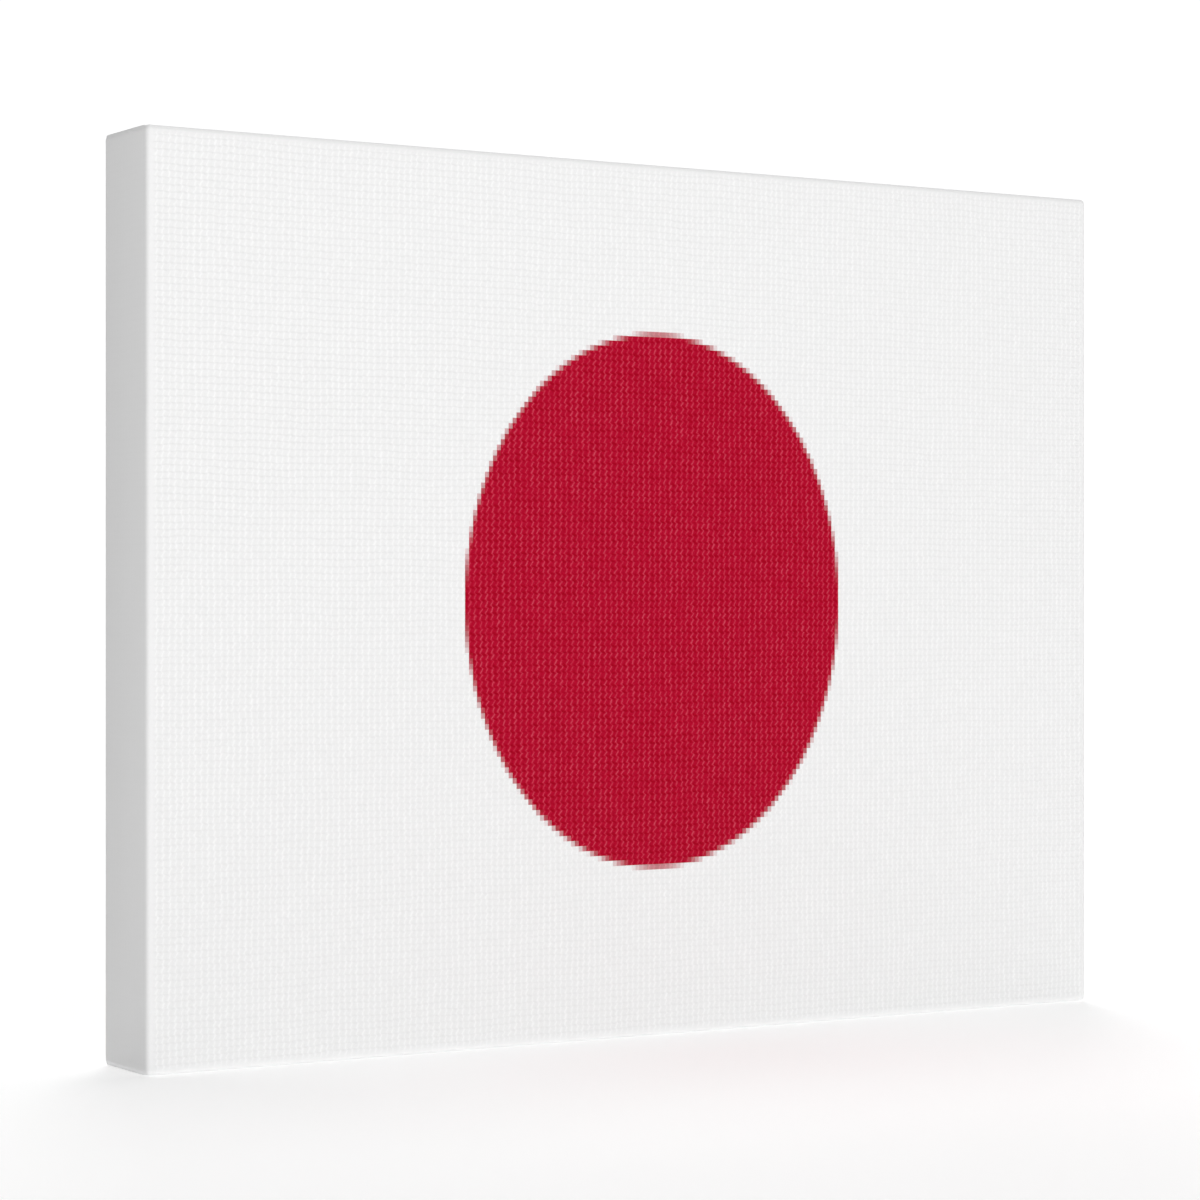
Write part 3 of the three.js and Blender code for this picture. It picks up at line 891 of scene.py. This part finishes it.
def fan_point(c, angle, away, upper, k):
    """A point near corner c, between side c and side c + 1. angle is measured from side c."""
    o, y, kind, length, t = stations[k]
    i, j = c, (c + 1) % 4
    o1, e1, O1, L1 = SIDES[i]
    o2, e2, O2, L2 = SIDES[j]
    phi = math.radians(angle)
    d = o1 * math.cos(phi) + o2 * math.sin(phi)
    mitre = o1 * (O1 - o) + o2 * (O2 - o)
    up = i if over_side(i) else j
    low = j if over_side(i) else i
    mine = up if upper else low
    # on the back the lines run beside the mitre
    beside = mitre + (-e1 if mine == i else e2) * away
    centre = o1 * (O1 - R) + o2 * (O2 - R)
    on_arc = centre + d * (R - o)
    if kind in ("front", "side"):
        p, share = on_arc, 0.0
    else:
        share = 1.0 if kind == "flap" else t / (math.pi / 2)
        p = on_arc * (1 - share) + beside * share if kind == "back" else beside
    if kind == "front":
        n2, ny = math.sin(t), -math.cos(t)
    elif kind == "side":
        n2, ny = 1.0, 0.0
    elif kind == "back":
        n2, ny = math.cos(t), math.sin(t)
    else:
        n2, ny = 0.0, 1.0
    b = y - YF
    h = 0.0
    if upper:
        crown = 1.0 if away < 0.15 else 1.06
        if kind == "flap":
            blend = float(smoothstep(o, R - 0.5, 4.2))
            h = crown * (LIP_SIDE * (1 - blend) + lifted(up, o + away, o) * blend)
        elif kind == "back":
            h = crown * LIP_SIDE
        else:
            h = crown * LIP_SIDE * float(smoothstep(b, 0.8, 6.5))
    # the fold stands out from its own side, not from the corner
    dir2 = d if not upper else (SIDES[up][0] * 0.85 + d * 0.15)
    p = p + dir2 * (n2 * h)
    n = d * n2
    out, along, O, L = SIDES[mine]
    turn = R * (phi if mine == i else math.pi / 2 - phi)
    reach = (L - R + turn) if kind in ("front", "side") else abs(float(p @ along))
    sign = 1 if mine == i else -1
    flat = out * (O - R + length) + along * sign * reach
    show = weave_shows(kind, t)
    return (p[0], y + ny * h, p[1]), (n[0], ny, n[1]), tuple(flat), show


# Columns round the picture: each is a list of K point numbers.
columns = []
for i in range(4):
    along_lines = SIDE_LINES[i]
    for j, a in enumerate(along_lines):
        col = []
        for k in range(K):
            if k == 0:
                if i == 0:
                    v = front[0, j]
                elif i == 1:
                    v = front[j, nz - 1]
                elif i == 2:
                    v = front[nx - 1, nz - 1 - j]
                else:
                    v = front[nx - 1 - j, 0]
                col.append(int(v))
            else:
                col.append(put(*station_point(i, a, k)))
        columns.append(col)
    corner = {
        0: front[0, nz - 1],
        1: front[nx - 1, nz - 1],
        2: front[nx - 1, 0],
        3: front[0, 0],
    }[i]
    fan = FAN if not over_side(i) else [(90 - g, w, u) for g, w, u in reversed(FAN)]
    for angle, away, upper in fan:
        columns.append(
            [int(corner)]
            + [put(*fan_point(i, angle, away, upper, k)) for k in range(1, K)]
        )

outer_faces = []
for ix in range(nx - 1):
    for iz in range(nz - 1):
        outer_faces.append(
            (front[ix, iz], front[ix + 1, iz], front[ix + 1, iz + 1], front[ix, iz + 1])
        )
C = len(columns)
for c in range(C):
    p, q = columns[c], columns[(c + 1) % C]
    for k in range(K - 1):
        f = [q[k], p[k], p[k + 1], q[k + 1]]
        f = [v for m, v in enumerate(f) if v != f[m - 1]]
        if len(f) > 2:
            outer_faces.append(tuple(f))

P = np.array([(x, y, z + HC) for x, y, z in points])
N = np.array(normals, float)
N /= np.maximum(np.linalg.norm(N, axis=1), 1e-9)[:, None]
n_out = len(P)
inner = P - N * CLOTH
rim = []
for c in range(C):
    p, q = columns[c][-1], columns[(c + 1) % C][-1]
    rim.append((q, p, p + n_out, q + n_out))
faces = (
    [tuple(int(v) for v in f) for f in outer_faces]
    + [tuple(int(v) + n_out for v in reversed(f)) for f in outer_faces]
    + [tuple(int(v) for v in f) for f in rim]
)
mesh = bpy.data.meshes.new("canvas_cloth")
mesh.from_pydata((np.vstack([P, inner]) / 1000).tolist(), [], faces)
mesh.materials.append(printed)
mesh.materials.append(raw)
index = np.ones(len(faces), np.int32)
index[: len(outer_faces)] = 0
mesh.polygons.foreach_set("material_index", index)
mesh.polygons.foreach_set("use_smooth", np.ones(len(faces), bool))
flat_attr = mesh.attributes.new("flat_mm", "FLOAT_VECTOR", "POINT")
F = np.zeros((n_out, 3), np.float32)
F[:, :2] = np.array(flats, float)
flat_attr.data.foreach_set("vector", np.vstack([F, F]).ravel())
show_attr = mesh.attributes.new("weave_shows", "FLOAT", "POINT")
show_attr.data.foreach_set("value", np.array(shows + shows, np.float32))
mesh.validate()
bm = bmesh.new()
bm.from_mesh(mesh)
bmesh.ops.recalc_face_normals(bm, faces=bm.faces)
for e in bm.edges:
    if len(e.link_faces) == 2 and e.calc_face_angle() > math.radians(60):
        e.smooth = False
bm.to_mesh(mesh)
bm.free()
cloth = bpy.data.objects.new("canvas_cloth", mesh)
scene.collection.objects.link(cloth)
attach(cloth, FRAME_BODY)
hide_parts("canvas")

# Loose threads along the cut edge
rng = random.Random(11)
verts, tube_faces = [], []


def thread(path, radius, sides=5):
    base = len(verts)
    for m, p in enumerate(path):
        t = (path[min(m + 1, len(path) - 1)] - path[max(m - 1, 0)]).normalized()
        u = t.cross(Vector((0.3, 0.2, 0.93))).normalized()
        v = t.cross(u)
        r = radius * (0.45 if m == len(path) - 1 else 1.0)
        for s in range(sides):
            g = 2 * math.pi * s / sides
            verts.append(p + (u * math.cos(g) + v * math.sin(g)) * r)
    for m in range(len(path) - 1):
        for s in range(sides):
            a, b = base + m * sides + s, base + m * sides + (s + 1) % sides
            tube_faces.append((a, b, b + sides, a + sides))
    tube_faces.append(tuple(base + s for s in reversed(range(sides))))
    last = base + (len(path) - 1) * sides
    tube_faces.append(tuple(last + s for s in range(sides)))


edge_cols = [c for c in columns]
for i in range(4):
    out, along, O, L = SIDES[i]
    span = L - FLAP - 2
    for _ in range(int(span / 2.6)):
        a = rng.uniform(-span, span)
        w = FLAP + 0.7 * float(ripple(a * 1.3, 0, i + 20))
        h = pucker(i, a, FLAP) + lifted(i, L - abs(a), FLAP)
        start = out * (O - w + 0.7) + along * a
        long = rng.choice([0.9, 1.3, 1.8, 2.4, 3.4]) * rng.uniform(0.7, 1.2)
        lean = rng.uniform(-0.5, 0.5)
        curl = rng.uniform(-0.5, 0.5)
        path = []
        for m in range(7):
            q = m / 6
            go = -out * (long + 0.7) * q + along * (lean * long * q + curl * q * q * 1.2)
            path.append(
                Vector(
                    (
                        start[0] + go[0],
                        YB - CLOTH / 2 + h + rng.uniform(-0.05, 0.05) + 0.18 * q * q * long * rng.uniform(-0.1, 0.5),
                        start[1] + go[1] + HC,
                    )
                )
                / 1000
            )
        thread(path, rng.uniform(0.09, 0.15) / 1000)
mesh = bpy.data.meshes.new("canvas_loose_threads")
mesh.from_pydata([tuple(v) for v in verts], [], tube_faces)
mesh.materials.append(raw)
mesh.polygons.foreach_set("use_smooth", np.ones(len(tube_faces), bool))
attr = mesh.attributes.new("flat_mm", "FLOAT_VECTOR", "POINT")
attr.data.foreach_set(
    "vector",
    np.array([(v[0] * 1000, v[2] * 1000, 0) for v in verts], np.float32).ravel(),
)
threads = bpy.data.objects.new("canvas_loose_threads", mesh)
scene.collection.objects.link(threads)
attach(threads, FRAME_BODY)

# ---------------------------------------------------------------------------
# Turned pieces: nail heads and bumpers, about an axis along Y
# ---------------------------------------------------------------------------


def turned(name, profile, centre, sides, material, node, wobble=0.0):
    """profile is (radius, y) in mm, from the axis to the axis."""
    verts, fs = [], []
    rows = []
    for r, y in profile:
        if r < 1e-6:
            verts.append((centre[0], centre[1] + y, centre[2]))
            rows.append([len(verts) - 1])
        else:
            row = []
            for s in range(sides):
                g = 2 * math.pi * s / sides
                rr = r * (1 + wobble * math.sin(3 * g + 0.7))
                verts.append(
                    (
                        centre[0] + rr * math.cos(g),
                        centre[1] + y,
                        centre[2] + rr * math.sin(g),
                    )
                )
                row.append(len(verts) - 1)
            rows.append(row)
    for a, b in zip(rows, rows[1:]):
        for s in range(sides):
            f = [a[s % len(a)], a[(s + 1) % len(a)], b[(s + 1) % len(b)], b[s % len(b)]]
            f = [v for m, v in enumerate(f) if v != f[m - 1]]
            if len(f) > 2:
                fs.append(tuple(f))
    me = bpy.data.meshes.new(name)
    me.from_pydata([tuple(c / 1000 for c in v) for v in verts], [], fs)
    b = bmesh.new()
    b.from_mesh(me)
    bmesh.ops.recalc_face_normals(b, faces=b.faces)
    for e in b.edges:
        if len(e.link_faces) == 2 and e.calc_face_angle() > math.radians(42):
            e.smooth = False
    for f in b.faces:
        f.smooth = True
    b.to_mesh(me)
    b.free()
    me.materials.append(material)
    o = bpy.data.objects.new(name, me)
    scene.collection.objects.link(o)
    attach(o, FRAME_BODY)
    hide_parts(node)
    return o


def rounded_profile(pts, steps=4):
    """Rounds the corners of a profile given as (r, y, radius)."""
    made = []
    for m, (r, y, c) in enumerate(pts):
        if c <= 0 or m in (0, len(pts) - 1):
            made.append((r, y))
            continue
        a = Vector((pts[m - 1][0] - r, pts[m - 1][1] - y)).normalized()
        b = Vector((pts[m + 1][0] - r, pts[m + 1][1] - y)).normalized()
        p0, p2 = Vector((r, y)) + a * c, Vector((r, y)) + b * c
        for s in range(steps + 1):
            t = s / steps
            q = p0 * (1 - t) ** 2 + Vector((r, y)) * 2 * t * (1 - t) + p2 * t * t
            made.append((max(q.x, 0.0), q.y))
    kept = made[:1]
    for q in made[1:]:
        if math.hypot(q[0] - kept[-1][0], q[1] - kept[-1][1]) > 0.012:
            kept.append(q)
    return kept


for side in ("left", "right"):
    b0, b1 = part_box(f"wall_bumper_{side}")
    cx, cz = (b0.x + b1.x) * 500, (b0.z + b1.z) * 500
    base, rad, high = b0.y * 1000, (b1.x - b0.x) * 500, (b1.y - b0.y) * 1000
    turned(
        f"bumper_{side}",
        rounded_profile(
            [
                (0, 0, 0),
                (rad, 0, 0.12),
                (rad, 0.55, 0.2),
                (rad * 0.95, 0.62, 0.08),
                (rad * 0.86, high * 0.66, 0.7),
                (rad * 0.55, high * 0.96, 0.9),
                (0.62, high, 0.1),
                (0.5, high - 0.16, 0.08),
                (0, high - 0.18, 0),
            ]
        ),
        (cx, base, cz),
        56,
        rubber,
        f"wall_bumper_{side}",
    )
    b0, b1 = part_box(f"hanger_nail_{side}")
    cx, cz = (b0.x + b1.x) * 500, (b0.z + b1.z) * 500
    rad, top, bottom = (b1.x - b0.x) * 500, b1.y * 1000, b0.y * 1000
    turned(
        f"nail_{side}",
        rounded_profile(
            [
                (0, bottom - top, 0),
                (0.75, bottom - top + 2, 0),
                (0.75, -0.95, 0.1),
                (rad * 0.62, -0.7, 0.15),
                (rad, -0.56, 0.1),
                (rad, -0.3, 0.16),
                (rad * 0.8, -0.08, 0.3),
                (rad * 0.4, 0.0, 0.2),
                (0, -0.02, 0),
            ]
        ),
        (cx, top, cz),
        40,
        nail_steel,
        f"hanger_nail_{side}",
        wobble=0.012,
    )

# ---------------------------------------------------------------------------
# CAD nodes that stay: finishes and eased edges
# ---------------------------------------------------------------------------


def open_edges(inside):
    """A modifier's node group that marks the sharp edges lying more than inside mm from the frame's outer edges, which are the ones that the cloth leaves open to view."""
    tree = bpy.data.node_groups.new("open_edges", "GeometryNodeTree")
    tree.interface.new_socket("Geometry", in_out="INPUT", socket_type="NodeSocketGeometry")
    tree.interface.new_socket("Geometry", in_out="OUTPUT", socket_type="NodeSocketGeometry")
    new, link = tree.nodes.new, tree.links.new

    def calc(op, a, b):
        n = new("ShaderNodeMath")
        n.operation = op
        for socket, value in zip(n.inputs, (a, b)):
            if isinstance(value, bpy.types.NodeSocket):
                link(value, socket)
            else:
                socket.default_value = value
        return n.outputs[0]

    source, result = new("NodeGroupInput"), new("NodeGroupOutput")
    ends = new("GeometryNodeInputMeshEdgeVertices")
    turn = new("GeometryNodeInputMeshEdgeAngle").outputs["Unsigned Angle"]
    marked = calc("GREATER_THAN", turn, math.radians(28))
    for position in ("Position 1", "Position 2"):
        n = new("ShaderNodeSeparateXYZ")
        link(ends.outputs[position], n.inputs[0])
        from_middle = calc("ABSOLUTE", n.outputs["X"], 0.0)
        near_x = calc("LESS_THAN", from_middle, (A - inside) / 1000)
        up = calc("ABSOLUTE", calc("SUBTRACT", n.outputs["Z"], HC / 1000), 0.0)
        near_z = calc("LESS_THAN", up, (HC - inside) / 1000)
        marked = calc("MULTIPLY", marked, calc("MULTIPLY", near_x, near_z))
    store = new("GeometryNodeStoreNamedAttribute")
    store.data_type, store.domain = "FLOAT", "EDGE"
    store.inputs["Name"].default_value = "bevel_weight_edge"
    link(source.outputs[0], store.inputs["Geometry"])
    link(marked, store.inputs["Value"])
    link(store.outputs[0], result.inputs[0])
    return tree


def finish_node(name, material, ease=0.0, segments=2, marks=None):
    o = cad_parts[name]
    o.data.materials.clear()
    o.data.materials.append(material)
    if ease:
        weld = o.modifiers.new("weld", "WELD")
        weld.merge_threshold = 2e-6
        if marks:
            o.modifiers.new("marks", "NODES").node_group = marks
        m = o.modifiers.new("ease", "BEVEL")
        m.width = ease / 1000
        m.segments = segments
        m.limit_method = "WEIGHT" if marks else "ANGLE"
        m.angle_limit = math.radians(28)
        m.use_clamp_overlap = True
        m.harden_normals = False


bar_marks = open_edges(26.0)


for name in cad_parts:
    if name in bars:
        finish_node(name, bars[name], 0.45, 3, bar_marks)
    elif name.startswith("key_"):
        finish_node(name, keys_x if name.endswith("side_bar") else keys_z, 0.3)
    elif name.startswith("staple_"):
        upright = name.split("_")[1] in ("left", "right")
        finish_node(name, staple_z if upright else staple_x, 0.12)
    elif name == "sawtooth_hanger":
        finish_node(name, zinc, 0.12)

# ---------------------------------------------------------------------------
# Stage: pale floor, soft light
# ---------------------------------------------------------------------------

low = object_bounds()[0].z
floor_mesh = bpy.data.meshes.new("floor")
S = 14
floor_mesh.from_pydata(
    [(-S, -S, low), (S, -S, low), (S, S, low), (-S, S, low)], [], [(0, 1, 2, 3)]
)
floor = bpy.data.objects.new("floor", floor_mesh)
scene.collection.objects.link(floor)
n = Nodes("floor")
n.set(
    Base_Color=(0.9, 0.9, 0.9),
    Roughness=0.9,
    Specular_IOR_Level=0.0,
    Emission_Color=(1, 1, 1),
    Emission_Strength=0.36,
)
# further off it goes over into plain white, so that no horizon shows
fx, fy, _ = n.xyz(n.place())
away = n.math("SQRT", n.add(n.mul(fx, fx), n.mul(fy, fy)))
plain = n.nt.nodes.new("ShaderNodeEmission")
plain.inputs["Strength"].default_value = 1.05
blend = n.nt.nodes.new("ShaderNodeMixShader")
n.put(blend.inputs[0], n.smooth(away, 420, 1100))
n.put(blend.inputs[1], n.bsdf.outputs[0])
n.put(blend.inputs[2], plain.outputs[0])
n.nt.links.new(blend.outputs[0], n.out.inputs["Surface"])
floor_mesh.materials.append(n.mat)

world = bpy.data.worlds.new("studio")
scene.world = world
world.use_nodes = True
nt = world.node_tree
nt.nodes.clear()
out = nt.nodes.new("ShaderNodeOutputWorld")
seen = nt.nodes.new("ShaderNodeBackground")
seen.inputs["Color"].default_value = (1, 1, 1, 1)
seen.inputs["Strength"].default_value = 1.05
lit = nt.nodes.new("ShaderNodeBackground")
lit.inputs["Color"].default_value = (1, 1, 1, 1)
lit.inputs["Strength"].default_value = 0.2
path = nt.nodes.new("ShaderNodeLightPath")
mixer = nt.nodes.new("ShaderNodeMixShader")
nt.links.new(path.outputs["Is Camera Ray"], mixer.inputs[0])
nt.links.new(lit.outputs[0], mixer.inputs[1])
nt.links.new(seen.outputs[0], mixer.inputs[2])
nt.links.new(mixer.outputs[0], out.inputs["Surface"])


def area(name, place, target, size, watts):
    data = bpy.data.lights.new(name, "AREA")
    data.shape, data.size, data.energy = "DISK", size, watts
    o = bpy.data.objects.new(name, data)
    o.location = place
    o.rotation_euler = (
        (Vector(target) - Vector(place)).to_track_quat("-Z", "Y").to_euler()
    )
    scene.collection.objects.link(o)
    return o


centre = (0, 0, HC / 1000)
area("key", (-0.6, -2.85, 0.5), centre, 1.0, 38)
area("top", (0.1, 0.5, 2.4), centre, 1.6, 22)
area("behind", (1.2, 2.0, 1.2), centre, 1.4, 22)

scene.view_settings.view_transform = "Standard"
scene.view_settings.look = "None"
scene.view_settings.exposure = 0
scene.view_settings.gamma = 1
